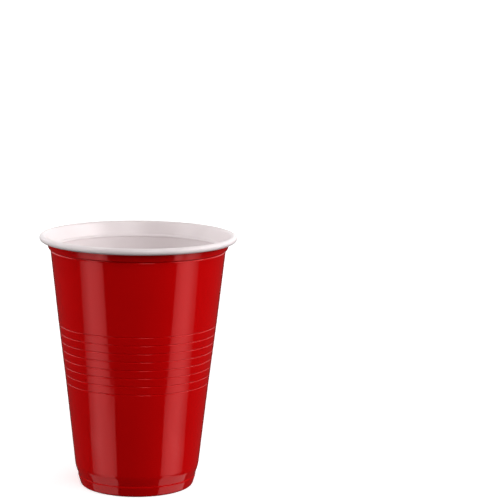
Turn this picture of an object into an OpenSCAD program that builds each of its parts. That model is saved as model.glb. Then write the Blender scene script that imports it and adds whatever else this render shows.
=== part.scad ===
// Plastic party cup, thermoformed in one piece from two-colour sheet: red outside, white inside.
// The section is drawn as a row of rounded corners along the outside face, from the centre of the
// base up to the lip. The sheet's thickness lies on its inner side, and the free edge of the lip is
// rolled outwards, so the rim shows the white side.

/* [Overall] */
// Height from the table to the top of the rim
cup_h = 122.5; // [100:0.5:150]
// Diameter over the rolled rim
rim_d = 94.5; // [85:0.5:110]
// Thickness of the formed sheet
sheet_t = 0.4; // [0.25:0.05:0.5]

/* [Rolled rim and lip] */
// Diameter of the roll's section
roll_d = 3.1; // [2.4:0.1:4]
// Angle through which the edge is rolled
roll_turn = 285; // [180:5:295]
// Height of the lip, from the shoulder to the top of the rim
lip_h = 6.6; // [5:0.1:10]
// How far the foot of the lip stands in from the roll
lip_lean = 1.25; // [0.5:0.05:2.5]
// Rounding where the shoulder turns up into the lip
lip_round = 0.7; // [0.6:0.1:1.5]

/* [Shoulder] */
// How far the shoulder stands out from the wall
shoulder_w = 0.9; // [0.5:0.1:2]
// Height of the shoulder's slope
shoulder_h = 0.6; // [0.4:0.1:2]
// Depth of the corner under the shoulder
neck_depth = 0.35; // [0.3:0.05:0.5]

/* [Grip rings] */
// Number of rings
ring_count = 7; // [3:1:10]
// Distance from one ring to the next
ring_pitch = 4; // [3:0.1:5]
// Height of the groove under the lowest ring
ring_z = 51.3; // [36:0.1:70]
// How far the wall below the rings lies in from the wall above them
step_in = 0.35; // [0:0.05:0.8]

/* [Grooves] */
// Depth of the grooves beside the rings
groove_depth = 0.2; // [0.15:0.05:0.4]
// Slope of a groove's two sides from the wall, in degrees
groove_slope = 35; // [25:1:40]
// Radius at the bottom of a groove
groove_round = 0.3; // [0.1:0.05:0.4]
// Rounding of a groove's edges
groove_edge_round = 0.55; // [0.55:0.05:1]

/* [Heel and foot] */
// Diameter of the heel at its upper edge
heel_d = 57.1; // [50:0.1:62]
// Height of the groove over the heel
heel_h = 5.4; // [4:0.1:9]
// Height of the heel's edge under that groove
heel_edge_h = 0.5; // [0.3:0.1:1.2]
// Rounding of the heel's edge
heel_round = 0.9; // [0.8:0.1:1.5]
// Depth of the groove over the heel
heel_depth = 0.15; // [0.05:0.05:0.4]
// How far the wall stands out over the heel
heel_step = 0.85; // [0.2:0.05:1.5]
// Height over which the wall turns in to the heel
turn_h = 4.4; // [2:0.1:8]
// Radius of that turn
turn_round = 13; // [4:1:20]
// Diameter of the foot across its outer corner
foot_d = 54.2; // [44:0.2:56]
// Rounding of the foot's outer corner
foot_round = 1.5; // [0.8:0.1:3]
// Width of the foot between its two corners
foot_w = 2.8; // [2.2:0.1:5]
// Rounding of the foot's inner corner
foot_inner_round = 0.9; // [0.8:0.1:1.2]
// Height of the hollow under the base
recess_h = 3.6; // [1.5:0.1:6]
// How far the hollow narrows from the foot to the base
recess_draft = 0.9; // [0.2:0.1:2]
// Rounding along the edge of the base
base_round = 1.2; // [0.5:0.1:2]

/* [Hidden] */
sheet_red = "#b0060c";
sheet_white = "#f4f1ee";
// Largest distance between a rounded corner and the chords that stand for it
chord_error = 0.004;
// Share of an edge that the roundings at its two ends may take up
round_share = 0.98;
$fn = 180;

// Heights of the lip's foot and of the groove under the shoulder
lip_z = cup_h - lip_h;
neck_z = lip_z - shoulder_h;

// Radii of the lip's foot and of the wall at the two ends of its taper
lip_r = rim_d / 2 - roll_d - lip_lean;
wall_top_r = lip_r - shoulder_w;
wall_foot_r = heel_d / 2 + heel_step + step_in;

// The corner of a groove lies deeper than its rounding, and its two sides run up to the wall from there
groove_corner_in = groove_depth + groove_round * (1 / cos(groove_slope) - 1);
groove_run = groove_corner_in / tan(groove_slope);

// The outside face runs along the inner side of the roll, where the lip meets it in a straight line
roll_r = roll_d / 2 - sheet_t;
roll_centre = [rim_d / 2 - roll_d / 2, cup_h - roll_d / 2];
lip_run = roll_centre - [lip_r, lip_z];
lip_angle = atan2(lip_run[1], lip_run[0]) + asin(roll_r / norm(lip_run));

// Radius of the tapered wall's outside face at height z, as it stands above the rings
function wall_r(z) = wall_foot_r + (wall_top_r - wall_foot_r) * (z - heel_h) / (neck_z - heel_h);

// A corner of the section at height z that lies in from the tapered wall
function wall_corner(z, in, rounding) = [wall_r(z) - in, z, rounding];

// Corners of the outside face as [radius, height, rounding], from the axis outwards and upwards
function base_corners() = let (inner_r = foot_d / 2 - foot_w) [
    [0, recess_h, 0],
    [inner_r - recess_draft, recess_h, base_round],
    [inner_r, 0, foot_inner_round],
    [foot_d / 2, 0, foot_round]
];

function heel_corners() = [
    [heel_d / 2, heel_h - heel_edge_h, heel_round],
    [heel_d / 2 - heel_depth, heel_h, groove_round],
    wall_corner(heel_h + turn_h, step_in, turn_round)
];

// The wall steps out by an equal share of step_in at each of the grooves beside the rings
function ring_corners() = [
    for (i = [0 : ring_count]) let (
        z = ring_z + i * ring_pitch,
        below = step_in * (1 - i / (ring_count + 1)),
        above = step_in * (1 - (i + 1) / (ring_count + 1))
    ) each [
        wall_corner(z - groove_run, below, groove_edge_round),
        wall_corner(z, below + groove_corner_in, groove_round),
        wall_corner(z + groove_run, above, groove_edge_round)
    ]
];

function shoulder_corners() = [
    wall_corner(neck_z - neck_depth / tan(groove_slope), 0, groove_edge_round),
    [wall_top_r - neck_depth, neck_z, groove_round],
    [lip_r, lip_z, lip_round]
];

// Number of chords that stand for an arc of this turn and radius
function arc_steps(turn, radius) = max(1, ceil(turn / (2 * acos(1 - min(1, chord_error / radius)))));

function roll_points() = let (steps = arc_steps(roll_turn, roll_r)) [
    for (i = [0 : steps]) let (a = lip_angle + 90 - roll_turn * i / steps)
        roll_centre + roll_r * [cos(a), sin(a)]
];

function point(corner) = [corner[0], corner[1]];
function heading(from, to) = (to - from) / norm(to - from);
function left_of(v) = [-v[1], v[0]];

// Angle by which the outline c turns at corner i, positive to the left
function turn_at(c, i) = let (
    a = heading(point(c[i - 1]), point(c[i])),
    b = heading(point(c[i]), point(c[i + 1]))
) atan2(left_of(a) * b, a * b);

// Length that the rounding at each corner of c takes off the edges beside it, where there is room
function wanted_cuts(c) = [
    for (i = [0 : len(c) - 1])
        i == 0 || i == len(c) - 1 ? 0 : c[i][2] * tan(abs(turn_at(c, i)) / 2)
];

// Factor that brings the two roundings on edge i of c within the edge
function cut_factor(c, cuts, i) =
    min(1, round_share * norm(point(c[i + 1]) - point(c[i])) / max(cuts[i] + cuts[i + 1], chord_error));

// Points along the outline c with an arc at every corner between its two ends
function rounded(c) = let (cuts = wanted_cuts(c), last = len(c) - 1) [
    point(c[0]),
    for (i = [1 : last - 1]) let (
        turn = turn_at(c, i),
        cut = cuts[i] * min(cut_factor(c, cuts, i - 1), cut_factor(c, cuts, i)),
        radius = cut / tan(abs(turn) / 2),
        ahead = heading(point(c[i - 1]), point(c[i])),
        aside = sign(turn) * left_of(ahead),
        steps = arc_steps(abs(turn), radius)
    ) for (k = [0 : steps]) let (a = abs(turn) * k / steps)
        point(c[i]) - cut * ahead + radius * (sin(a) * ahead + (1 - cos(a)) * aside),
    point(c[last])
];

// Path p moved to its left by d, with every straight run kept parallel
function moved_left(p, d) = let (last = len(p) - 1) [
    for (i = [0 : last]) let (
        a = left_of(heading(p[max(i - 1, 0)], p[max(i, 1)])),
        b = left_of(heading(p[min(i, last - 1)], p[min(i + 1, last)]))
    ) p[i] + d * (a + b) / (1 + a * b)
];

function span(p, first, last) = [for (i = [first : last]) p[i]];
function reversed(p) = [for (i = [len(p) - 1 : -1 : 0]) p[i]];

// The red outer form is hollowed out by the white inner form, and the free edge is rolled in white
module cup() {
    roll = roll_points();
    wall = rounded(concat(base_corners(), heel_corners(), ring_corners(), shoulder_corners(), [roll[0]]));
    outside = concat(wall, span(roll, 1, len(roll) - 1));
    inside = moved_left(outside, sheet_t);
    brim = len(wall) - 1;
    edge = len(outside) - 1;
    middle = [0, inside[brim][1]];
    above = [0, roll_d];
    union() {
        difference() {
            color(sheet_red) rotate_extrude()
                polygon(concat(wall, [inside[brim], middle]));
            color(sheet_white) rotate_extrude()
                polygon(concat(span(inside, 0, brim), [inside[brim] + above, middle + above]));
        }
        color(sheet_white) rotate_extrude()
            polygon(concat(span(outside, brim, edge), reversed(span(inside, brim, edge))));
    }
}

cup();
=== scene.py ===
import math

import bmesh
import bpy
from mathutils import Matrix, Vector


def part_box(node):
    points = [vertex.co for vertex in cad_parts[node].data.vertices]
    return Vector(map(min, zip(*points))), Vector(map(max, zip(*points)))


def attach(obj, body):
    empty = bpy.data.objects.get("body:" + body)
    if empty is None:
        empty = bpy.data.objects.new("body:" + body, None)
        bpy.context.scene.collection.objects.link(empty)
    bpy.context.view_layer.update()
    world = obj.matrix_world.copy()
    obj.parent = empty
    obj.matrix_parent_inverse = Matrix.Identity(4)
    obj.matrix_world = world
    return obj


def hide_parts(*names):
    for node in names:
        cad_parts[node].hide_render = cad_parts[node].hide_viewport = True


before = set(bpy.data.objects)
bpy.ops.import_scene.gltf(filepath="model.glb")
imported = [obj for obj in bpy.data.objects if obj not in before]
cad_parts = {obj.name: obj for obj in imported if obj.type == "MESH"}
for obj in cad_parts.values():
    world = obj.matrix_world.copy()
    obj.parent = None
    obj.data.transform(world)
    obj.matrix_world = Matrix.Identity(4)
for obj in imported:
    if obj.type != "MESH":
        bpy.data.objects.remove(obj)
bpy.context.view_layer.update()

# Cup: one piece, thermoformed from two-colour polystyrene sheet, glossy red outside and satin white
# inside. The mould gives it the heel, the grip rings and the shoulder, and its free edge is then
# heated and rolled outwards, so that the rim shows the sheet's white side.
cup_low, cup_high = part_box("cup")
cup_height = cup_high.z - cup_low.z
rim_radius = (cup_high.x - cup_low.x) / 2
sheet_thickness = 0.0004

recess_height = 0.0036
recess_draft = 0.0009
base_rounding = 0.0012
foot_radius = 0.0271
foot_width = 0.0028
foot_rounding = 0.0015
foot_inner_rounding = 0.0009
heel_radius = 0.02855
heel_height = 0.0054
heel_edge_height = 0.0005
heel_rounding = 0.0009
heel_groove = 0.00015
heel_step = 0.00085
turn_height = 0.0044
turn_rounding = 0.013

ring_count = 7
ring_pitch = 0.004
ring_height = 0.0513
step_in = 0.00035
groove_depth = 0.00012
groove_slope = math.radians(35)
groove_rounding = 0.0003
groove_edge_rounding = 0.00055

roll_thickness = 0.0031
roll_turn = math.radians(285)
lip_height = 0.0066
lip_lean = 0.00125
lip_rounding = 0.0007
shoulder_width = 0.0009
shoulder_height = 0.0006
neck_depth = 0.00035

lip_foot = Vector((rim_radius - roll_thickness - lip_lean, cup_height - lip_height))
neck = Vector((lip_foot.x - shoulder_width, lip_foot.y - shoulder_height))
wall_foot_radius = heel_radius + heel_step + step_in


def on_wall(height, inset, rounding):
    """A corner of the section that lies in from the tapered wall at this height."""
    share = (height - heel_height) / (neck.y - heel_height)
    return wall_foot_radius + (neck.x - wall_foot_radius) * share - inset, height, rounding


# The corner of a groove lies deeper than its rounding, and its two sides run up to the wall from there.
groove_corner = groove_depth + groove_rounding * (1 / math.cos(groove_slope) - 1)
groove_run = groove_corner / math.tan(groove_slope)
neck_run = neck_depth / math.tan(groove_slope)

# The outside face as corners of radius, height and rounding, from the axis out and up to the lip.
corners = [
    (0, recess_height, 0),
    (foot_radius - foot_width - recess_draft, recess_height, base_rounding),
    (foot_radius - foot_width, 0, foot_inner_rounding),
    (foot_radius, 0, foot_rounding),
    (heel_radius, heel_height - heel_edge_height, heel_rounding),
    (heel_radius - heel_groove, heel_height, groove_rounding),
    on_wall(heel_height + turn_height, step_in, turn_rounding),
]
for groove in range(ring_count + 1):
    height = ring_height + groove * ring_pitch
    inset_below = step_in * (1 - groove / (ring_count + 1))
    inset_above = step_in * (1 - (groove + 1) / (ring_count + 1))
    corners.append(on_wall(height - groove_run, inset_below, groove_edge_rounding))
    corners.append(on_wall(height, inset_below + groove_corner, groove_rounding))
    corners.append(on_wall(height + groove_run, inset_above, groove_edge_rounding))
corners += [
    on_wall(neck.y - neck_run, 0, groove_edge_rounding),
    (neck.x - neck_depth, neck.y, groove_rounding),
    (lip_foot.x, lip_foot.y, lip_rounding),
]

# The lip runs straight into the roll, and touches the inner side of its curl.
curl_radius = roll_thickness / 2 - sheet_thickness
curl_centre = Vector((rim_radius - roll_thickness / 2, cup_height - roll_thickness / 2))
lip_run = curl_centre - lip_foot
lip_slope = math.atan2(lip_run.y, lip_run.x) + math.asin(curl_radius / lip_run.length)
curl_start = curl_centre + curl_radius * Vector((-math.sin(lip_slope), math.cos(lip_slope)))
corners.append((curl_start.x, curl_start.y, 0))

# A rounding takes a cut off the two edges beside it, and less where an edge has no room for both its cuts.
arc_step = math.radians(8)
steps_around = 160
edge_share = 0.98
least_cut = sheet_thickness / 100
merge_distance = sheet_thickness / 1000
places = [Vector(corner[:2]) for corner in corners]
headings = [(b - a).normalized() for a, b in zip(places, places[1:])]
turns = [0] + [a.angle_signed(b) for a, b in zip(headings, headings[1:])] + [0]
cuts = [corner[2] * math.tan(abs(turn) / 2) for corner, turn in zip(corners, turns)]
room = [
    min(1, edge_share * (b - a).length / max(cut_a + cut_b, least_cut))
    for a, b, cut_a, cut_b in zip(places, places[1:], cuts, cuts[1:])
]


def line_to(section, end, place):
    """Draws the section straight on from its end vertex to a place in the plane of radius and height."""
    drawn = bmesh.ops.extrude_vert_indiv(section, verts=[end])["verts"][0]
    drawn.co = (place.x, 0, place.y)
    return drawn


def arc_round(section, end, centre, turn):
    """Draws the section on from its end vertex in an arc, clockwise where the turn is positive."""
    drawn = bmesh.ops.spin(
        section,
        geom=[end],
        cent=(centre.x, 0, centre.y),
        axis=(0, 1, 0),
        angle=turn,
        steps=max(2, math.ceil(abs(turn) / arc_step)),
    )
    return drawn["geom_last"][0]


cup_mesh = bmesh.new()
end = cup_mesh.verts.new((places[0].x, 0, places[0].y))
for i in range(1, len(corners) - 1):
    cut = cuts[i] * min(room[i - 1], room[i])
    arc_start = places[i] - cut * headings[i - 1]
    side = math.copysign(cut / math.tan(abs(turns[i]) / 2), turns[i])
    arc_centre = arc_start + side * Vector((headings[i - 1].y, -headings[i - 1].x))
    end = line_to(cup_mesh, end, arc_start)
    end = arc_round(cup_mesh, end, arc_centre, turns[i])
end = line_to(cup_mesh, end, curl_start)
arc_round(cup_mesh, end, curl_centre, roll_turn)
bmesh.ops.spin(
    cup_mesh,
    geom=cup_mesh.verts[:] + cup_mesh.edges[:],
    cent=(0, 0, 0),
    axis=(0, 0, 1),
    angle=math.tau,
    steps=steps_around,
    use_merge=True,
)
bmesh.ops.remove_doubles(cup_mesh, verts=cup_mesh.verts[:], dist=merge_distance)
bmesh.ops.recalc_face_normals(cup_mesh, faces=cup_mesh.faces[:])
lowest_face = min(cup_mesh.faces, key=lambda face: face.calc_center_median().z)
if lowest_face.normal.z > 0:
    bmesh.ops.reverse_faces(cup_mesh, faces=cup_mesh.faces[:])
for face in cup_mesh.faces:
    face.smooth = True
mesh = bpy.data.meshes.new("cup_sheet")
cup_mesh.to_mesh(mesh)
cup_mesh.free()
cup = bpy.data.objects.new("cup_sheet", mesh)
bpy.context.scene.collection.objects.link(cup)

wall = cup.modifiers.new("sheet thickness", "SOLIDIFY")
wall.thickness = sheet_thickness
wall.offset = -1
wall.use_even_offset = True
wall.use_quality_normals = True
wall.material_offset = 1
wall.material_offset_rim = 1
shading = cup.modifiers.new("flat runs stay flat", "WEIGHTED_NORMAL")
shading.mode = "FACE_AREA"


def moulded_plastic(name, colours, gloss, mottle_scale, peel_scale, peel_height):
    """Plastic sheet whose colour and gloss vary a little, with the fine unevenness that moulding leaves."""
    material = bpy.data.materials.new(name)
    material.use_nodes = True
    nodes = material.node_tree.nodes
    links = material.node_tree.links
    shader = nodes["Principled BSDF"]
    place = nodes.new("ShaderNodeTexCoord")
    mottle = nodes.new("ShaderNodeTexNoise")
    mottle.inputs["Scale"].default_value = mottle_scale
    mottle.inputs["Detail"].default_value = 3
    links.new(place.outputs["Object"], mottle.inputs["Vector"])
    colour = nodes.new("ShaderNodeValToRGB")
    colour.color_ramp.elements[0].position = 0.3
    colour.color_ramp.elements[1].position = 0.7
    for stop, value in zip(colour.color_ramp.elements, colours):
        stop.color = (*value, 1)
    links.new(mottle.outputs["Fac"], colour.inputs["Fac"])
    links.new(colour.outputs["Color"], shader.inputs["Base Color"])
    sheen = nodes.new("ShaderNodeMapRange")
    sheen.inputs["To Min"].default_value = gloss[0]
    sheen.inputs["To Max"].default_value = gloss[1]
    links.new(mottle.outputs["Fac"], sheen.inputs["Value"])
    links.new(sheen.outputs["Result"], shader.inputs["Roughness"])
    peel = nodes.new("ShaderNodeTexNoise")
    peel.inputs["Scale"].default_value = peel_scale
    peel.inputs["Detail"].default_value = 2
    links.new(place.outputs["Object"], peel.inputs["Vector"])
    bump = nodes.new("ShaderNodeBump")
    bump.inputs["Strength"].default_value = 1
    bump.inputs["Distance"].default_value = peel_height
    links.new(peel.outputs["Fac"], bump.inputs["Height"])
    links.new(bump.outputs["Normal"], shader.inputs["Normal"])
    return material


red_skin = moulded_plastic(
    "red gloss skin",
    colours=((0.553, 0.0007, 0.0012), (0.588, 0.0009, 0.0015)),
    gloss=(0.07, 0.1),
    mottle_scale=40,
    peel_scale=350,
    peel_height=0.000004,
)
red_shader = red_skin.node_tree.nodes["Principled BSDF"]
red_shader.inputs["IOR"].default_value = 1.6
red_shader.inputs["Specular Tint"].default_value = (1, 0.2, 0.2, 1)
white_skin = moulded_plastic(
    "white satin skin",
    colours=((0.8, 0.715, 0.72), (0.83, 0.75, 0.755)),
    gloss=(0.28, 0.36),
    mottle_scale=60,
    peel_scale=600,
    peel_height=0.000006,
)
mesh.materials.append(red_skin)
mesh.materials.append(white_skin)
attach(cup, "root")
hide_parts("cup")

# Floor: a sweep of plain white card that rises behind the cup. It is lifted to white for the eye, less near
# the cup, where it keeps the shadow. The cup's gloss doesn't mirror it, and it throws no light back.
floor_front = -3.0
floor_back = 2.2
floor_half_width = 3.0
sweep_height = 2.0
sweep_rounding = 0.8
sweep_segments = 24
card_white = 0.8
near_reach = 0.3
near_lift = 0.56
far_reach = 1.1
far_lift = 1
sweep = bmesh.new()
edge = [sweep.verts.new((x, floor_front, 0)) for x in (-floor_half_width, floor_half_width)]
front_edge = sweep.edges.new(edge)
run = bmesh.ops.extrude_edge_only(sweep, edges=[front_edge])["geom"]
run_verts = [g for g in run if isinstance(g, bmesh.types.BMVert)]
bmesh.ops.translate(sweep, verts=run_verts, vec=(0, floor_back - floor_front, 0))
corner_edge = next(g for g in run if isinstance(g, bmesh.types.BMEdge) and set(g.verts) == set(run_verts))
rise = bmesh.ops.extrude_edge_only(sweep, edges=[corner_edge])["geom"]
rise_verts = [g for g in rise if isinstance(g, bmesh.types.BMVert)]
bmesh.ops.translate(sweep, verts=rise_verts, vec=(0, 0, sweep_height))
bmesh.ops.bevel(
    sweep,
    geom=[corner_edge],
    offset=sweep_rounding,
    offset_type="OFFSET",
    affect="EDGES",
    segments=sweep_segments,
    profile=0.5,
    material=-1,
)
bmesh.ops.recalc_face_normals(sweep, faces=sweep.faces[:])
for face in sweep.faces:
    face.smooth = True
floor_mesh = bpy.data.meshes.new("floor")
sweep.to_mesh(floor_mesh)
sweep.free()
floor = bpy.data.objects.new("floor", floor_mesh)
bpy.context.scene.collection.objects.link(floor)
floor.visible_glossy = False
floor.visible_diffuse = False

card = bpy.data.materials.new("white card")
card.use_nodes = True
card_nodes = card.node_tree.nodes
card_links = card.node_tree.links
card_shader = card_nodes["Principled BSDF"]
card_shader.inputs["Base Color"].default_value = (card_white, card_white, card_white, 1)
card_shader.inputs["Roughness"].default_value = 0.9
card_shader.inputs["Specular IOR Level"].default_value = 0
card_shader.inputs["Emission Color"].default_value = (1, 1, 1, 1)
card_ray = card_nodes.new("ShaderNodeLightPath")
card_place = card_nodes.new("ShaderNodeTexCoord")
reach = card_nodes.new("ShaderNodeVectorMath")
reach.operation = "LENGTH"
lift = card_nodes.new("ShaderNodeMapRange")
lift.inputs["From Min"].default_value = near_reach
lift.inputs["From Max"].default_value = far_reach
lift.inputs["To Min"].default_value = near_lift
lift.inputs["To Max"].default_value = far_lift
seen_lift = card_nodes.new("ShaderNodeMath")
seen_lift.operation = "MULTIPLY"
card_links.new(card_place.outputs["Object"], reach.inputs[0])
card_links.new(reach.outputs["Value"], lift.inputs["Value"])
card_links.new(card_ray.outputs["Is Camera Ray"], seen_lift.inputs[0])
card_links.new(lift.outputs["Result"], seen_lift.inputs[1])
card_links.new(seen_lift.outputs["Value"], card_shader.inputs["Emission Strength"])
floor_mesh.materials.append(card)

# Light: soft boxes above the camera and at the sides light the cup, and its gloss mirrors strips alone: two
# in front, which the rings show as dashes, and a tall one in parts at either side, which the wall shows as
# a band. The world fills in; the gloss shows it white behind the cup over the floor, and dark elsewhere.
watts_per_area = 4


def lamp_at(name, azimuth, low, high, width, radiance):
    """A rectangular lamp whose lower and upper edges are given as reach from the cup's axis and height.
    Azimuth 0 is the camera's side, and 90 is to the right. A lamp that leans away from the cup faces up."""
    rise = Vector(high) - Vector(low)
    middle = (Vector(high) + Vector(low)) / 2
    turn = math.radians(azimuth)
    data = bpy.data.lights.new(name, "AREA")
    data.shape = "RECTANGLE"
    data.size = width
    data.size_y = rise.length
    data.energy = watts_per_area * width * rise.length * radiance
    lamp = bpy.data.objects.new(name, data)
    lamp.location = (middle.x * math.sin(turn), -middle.x * math.cos(turn), middle.y)
    lamp.rotation_euler = (math.pi / 2 + math.atan2(rise.x, rise.y), 0, turn)
    lamp.visible_camera = False
    bpy.context.scene.collection.objects.link(lamp)
    return lamp


def soft_box(name, azimuth, low, high, width, radiance):
    """A lamp that lights the cup and doesn't show in its gloss."""
    lamp = lamp_at(name, azimuth, low, high, width, radiance)
    lamp.visible_glossy = False


def strip_light(name, stops, azimuth, low, high, width, radiance):
    """A lamp that only gloss shows. Its stops are places across its width and the level of light there."""
    lamp = lamp_at(name, azimuth, low, high, width, radiance)
    lamp.visible_diffuse = False
    lamp.data.use_nodes = True
    nodes = lamp.data.node_tree.nodes
    links = lamp.data.node_tree.links
    face = nodes.new("ShaderNodeNewGeometry")
    across = nodes.new("ShaderNodeSeparateXYZ")
    level = nodes.new("ShaderNodeValToRGB")
    level.color_ramp.interpolation = "EASE"
    for inner_stop in stops[1:-1]:
        level.color_ramp.elements.new(inner_stop[0])
    for stop, (position, value) in zip(level.color_ramp.elements, stops):
        stop.position = position
        stop.color = (value, value, value, 1)
    links.new(face.outputs["Parametric"], across.inputs["Vector"])
    links.new(across.outputs["X"], level.inputs["Fac"])
    links.new(level.outputs["Color"], nodes["Emission"].inputs["Color"])


soft_box("upper front box", 8, (0.903, 0.795), (0.636, 1.036), width=0.6, radiance=2.95)
soft_box("front box", 8, (1.101, 0.454), (0.891, 0.818), width=0.6, radiance=1.8)
soft_box("left box", -100, (1.25, 0.034), (1.069, 0.71), width=1.3, radiance=3.25)
soft_box("right box", 108, (1.25, 0.034), (1.069, 0.71), width=1.3, radiance=2.95)
soft_box("right front box", 62, (1.235, 0.251), (0.94, 0.886), width=0.6, radiance=3.35)

even_stops = [(0, 1), (1, 1)]
strip_light("upper front strip", even_stops, 15, (0.923, 0.818), (0.656, 1.059), width=0.28, radiance=4.8)
strip_light("front strip", even_stops, 12, (1.127, 0.469), (0.917, 0.833), width=0.36, radiance=2.6)

# The rings mirror the part of a side strip above the floor. Under it the strip stands upright, mirrored by
# the foot, the lip and the low wall in turn, and then lies outwards, where the rest of the wall mirrors it.
left_stops = [(0, 0.27), (0.5, 1), (0.72, 1), (1, 0.64)]
right_stops = [(0, 0.62), (0.28, 1), (0.45, 1), (1, 0.2)]
left_foot_stops = [(0, 0.4), (1, 1)]
right_foot_stops = [(0, 0.9), (1, 0.45)]
foot_edge = (0.705, -0.954)
lip_edge = (0.705, -0.468)
low_wall_edge = (0.705, -0.4)
top_edge = (0.705, -0.29)
near_edge = (0.785, -0.33)
far_edge = (1.239, -0.229)
strip_light("left strip, rings", even_stops, -65, (1.065, 0.416), (0.84, 0.806), width=0.3, radiance=4.2)
strip_light("left strip, wall", left_stops, -65.8, near_edge, far_edge, width=0.65, radiance=1.75)
strip_light("left strip, low wall", left_stops, -64, low_wall_edge, top_edge, width=0.688, radiance=1.65)
strip_light("left strip, lip", left_stops, -64, lip_edge, low_wall_edge, width=0.688, radiance=1.19)
strip_light("left strip, foot", left_foot_stops, -76.5, foot_edge, lip_edge, width=0.881, radiance=1.3)
strip_light("right strip, rings", even_stops, 75, (1.065, 0.401), (0.877, 0.754), width=0.8, radiance=3.8)
strip_light("right strip, wall", right_stops, 70.3, near_edge, far_edge, width=0.65, radiance=1.75)
strip_light("right strip, low wall", right_stops, 70, low_wall_edge, top_edge, width=0.628, radiance=1.75)
strip_light("right strip, lip", right_stops, 70, lip_edge, low_wall_edge, width=0.628, radiance=0.45)
strip_light("right strip, foot", right_foot_stops, 86, foot_edge, lip_edge, width=0.916, radiance=1.45)

# The world's level as fill light and in the gloss, and how softly its white ends at the sides and below.
fill_level = 0.17
gloss_dark = 0.04
gloss_white = 1.6
side_blend = 0.25
horizon_blend = 0.08
world = bpy.data.worlds.new("studio")
bpy.context.scene.world = world
world.use_nodes = True
world_nodes = world.node_tree.nodes
world_links = world.node_tree.links
world_ray = world_nodes.new("ShaderNodeLightPath")
direction = world_nodes.new("ShaderNodeTexCoord")
direction_axes = world_nodes.new("ShaderNodeSeparateXYZ")
behind = world_nodes.new("ShaderNodeMapRange")
behind.inputs["From Max"].default_value = side_blend
above = world_nodes.new("ShaderNodeMapRange")
above.inputs["From Max"].default_value = horizon_blend
backdrop = world_nodes.new("ShaderNodeMath")
backdrop.operation = "MULTIPLY"
in_gloss = world_nodes.new("ShaderNodeMapRange")
in_gloss.inputs["To Min"].default_value = gloss_dark
in_gloss.inputs["To Max"].default_value = gloss_white
fill = world_nodes.new("ShaderNodeMapRange")
fill.inputs["To Min"].default_value = fill_level
world_level = world_nodes.new("ShaderNodeMath")
world_level.operation = "MAXIMUM"
world_links.new(direction.outputs["Generated"], direction_axes.inputs["Vector"])
world_links.new(direction_axes.outputs["Y"], behind.inputs["Value"])
world_links.new(direction_axes.outputs["Z"], above.inputs["Value"])
world_links.new(behind.outputs["Result"], backdrop.inputs[0])
world_links.new(above.outputs["Result"], backdrop.inputs[1])
world_links.new(backdrop.outputs["Value"], in_gloss.inputs["Value"])
world_links.new(world_ray.outputs["Is Glossy Ray"], fill.inputs["Value"])
world_links.new(in_gloss.outputs["Result"], fill.inputs["To Max"])
world_links.new(fill.outputs["Result"], world_level.inputs[0])
world_links.new(world_ray.outputs["Is Camera Ray"], world_level.inputs[1])
world_links.new(world_level.outputs["Value"], world_nodes["Background"].inputs["Strength"])
world_nodes["Background"].inputs["Color"].default_value = (1, 1, 1, 1)

# Camera: a long lens a metre off and a little above the cup, aimed past it, so that the cup stands
# at the lower left of the picture.
camera_data = bpy.data.cameras.new("camera")
camera_data.sensor_width = 36
camera_data.lens = 144.3
camera = bpy.data.objects.new("camera", camera_data)
camera.location = (0, -0.95, 0.266)
camera_aim = Vector((0.0536, 0, 0.11504))
camera_roll = math.radians(0.87)
camera.rotation_euler = (camera_aim - camera.location).to_track_quat("-Z", "Y").to_euler()
camera.rotation_euler.rotate_axis("Z", camera_roll)
bpy.context.scene.collection.objects.link(camera)
bpy.context.scene.camera = camera
bpy.context.scene.view_settings.view_transform = "Standard"

bpy.context.view_layer.update()
